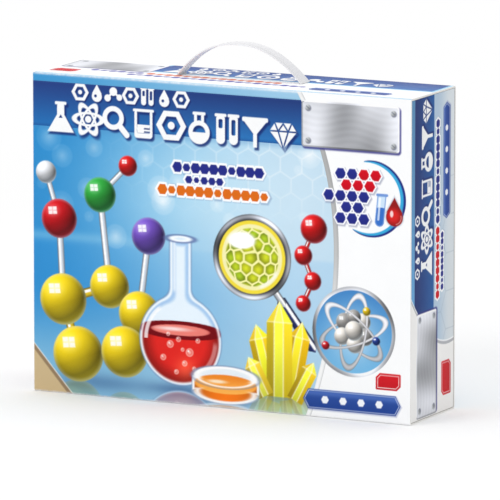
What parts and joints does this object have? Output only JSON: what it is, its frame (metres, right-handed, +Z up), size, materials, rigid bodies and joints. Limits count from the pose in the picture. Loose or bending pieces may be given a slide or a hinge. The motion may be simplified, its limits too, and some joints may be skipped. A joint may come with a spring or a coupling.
{
  "type": "chemistry set case",
  "caption": "Upright printed cardboard carry case with an arched strap handle, a tuck-in end flap and a slide-out drawer tray holding laboratory ware.",
  "frame": {"origin": "centre of the long narrow bottom face that the case stands on", "axes": "+X along the case towards the drawer's front end, -Y out of the printed front face, +Z up towards the handle"},
  "size_m": [0.4, 0.098, 0.3435],
  "materials": {
    "printed_board": "satin",
    "plain_board": "matte",
    "tray_board": "matte",
    "strap_plastic": "satin",
    "clear_plastic": "gloss",
    "yellow_plastic": "gloss",
    "red_plastic": "gloss",
    "blue_plastic": "gloss",
    "white_plastic": "satin",
    "lid_plastic": "satin",
    "pipette_rubber": "matte",
    "elastic_band": "matte",
    "booklet_paper": "satin"
  },
  "bodies": {
    "carton": {"front_panel": "printed_board", "back_panel": "printed_board", "top_panel": "printed_board", "bottom_panel": "printed_board", "glue_seam_flap": "plain_board", "top_doubler": "plain_board", "strap_leg_left": "strap_plastic", "strap_leg_right": "strap_plastic"},
    "end_flap": {"left_end_flap": "printed_board", "left_tuck_tongue": "plain_board"},
    "dust_flap_top": {"top_dust_flap": "plain_board"},
    "dust_flap_bottom": {"bottom_dust_flap": "plain_board"},
    "handle": {"strap_grip": "strap_plastic"},
    "anchor_left": {"strap_anchor_left": "strap_plastic"},
    "anchor_right": {"strap_anchor_right": "strap_plastic"},
    "drawer": {"conical_flask": "clear_plastic", "divider_left": "tray_board", "divider_right": "tray_board", "drawer_bottom_wall": "tray_board", "drawer_floor": "tray_board", "drawer_left_end": "tray_board", "drawer_right_end": "printed_board", "drawer_top_wall": "tray_board", "funnel": "red_plastic", "goggles_band": "elastic_band", "goggles_frame": "blue_plastic", "goggles_lens": "clear_plastic", "instruction_booklet": "booklet_paper", "measuring_cylinder": "clear_plastic", "pipette_bulb": "pipette_rubber", "pipette_tube": "clear_plastic", "rack_base": "yellow_plastic", "rack_ends": "yellow_plastic", "rack_top_plate": "yellow_plastic", "reagent_jar_lids": "lid_plastic", "reagent_jars": "white_plastic", "shelf_left": "tray_board", "shelf_middle": "tray_board", "shelf_right": "tray_board", "square_beaker": "clear_plastic", "stirring_spoon": "red_plastic", "test_tube_1": "clear_plastic", "test_tube_2": "clear_plastic", "test_tube_3": "clear_plastic", "tube_caps": "blue_plastic"}
  },
  "joints": [
    {"name": "drawer_slide", "type": "slide", "parent": "carton", "child": "drawer", "axis": [1, 0, 0], "range_m": [0, 0.3]},
    {"name": "end_flap_hinge", "type": "hinge", "parent": "carton", "child": "end_flap", "pos_m": [-0.2, 0.049, 0.155], "axis": [0, 0, -1], "range_deg": [0, 160]},
    {"name": "top_dust_hinge", "type": "hinge", "parent": "carton", "child": "dust_flap_top", "pos_m": [-0.1982, 0, 0.31], "axis": [0, 1, 0], "range_deg": [0, 80]},
    {"name": "bottom_dust_hinge", "type": "hinge", "parent": "carton", "child": "dust_flap_bottom", "pos_m": [-0.1982, 0, 0], "axis": [0, -1, 0], "range_deg": [0, 80]},
    {"name": "handle_press", "type": "slide", "parent": "carton", "child": "handle", "axis": [0, 0, -1], "range_m": [0, 0.022], "stiffness_N_per_m": 60, "deforming": ["strap_leg_left", "strap_leg_right"]},
    {"name": "left_anchor_drop", "type": "slide", "parent": "carton", "child": "anchor_left", "axis": [0, 0, -1], "range_m": [0, 0.012]},
    {"name": "right_anchor_drop", "type": "slide", "parent": "carton", "child": "anchor_right", "axis": [0, 0, -1], "range_m": [0, 0.012]}
  ],
  "couplings": [
    {"joint": "top_dust_hinge", "follows": "end_flap_hinge", "ratio": 0.5},
    {"joint": "bottom_dust_hinge", "follows": "end_flap_hinge", "ratio": 0.5},
    {"joint": "left_anchor_drop", "follows": "handle_press", "ratio": 0.52},
    {"joint": "right_anchor_drop", "follows": "handle_press", "ratio": 0.52}
  ]
}
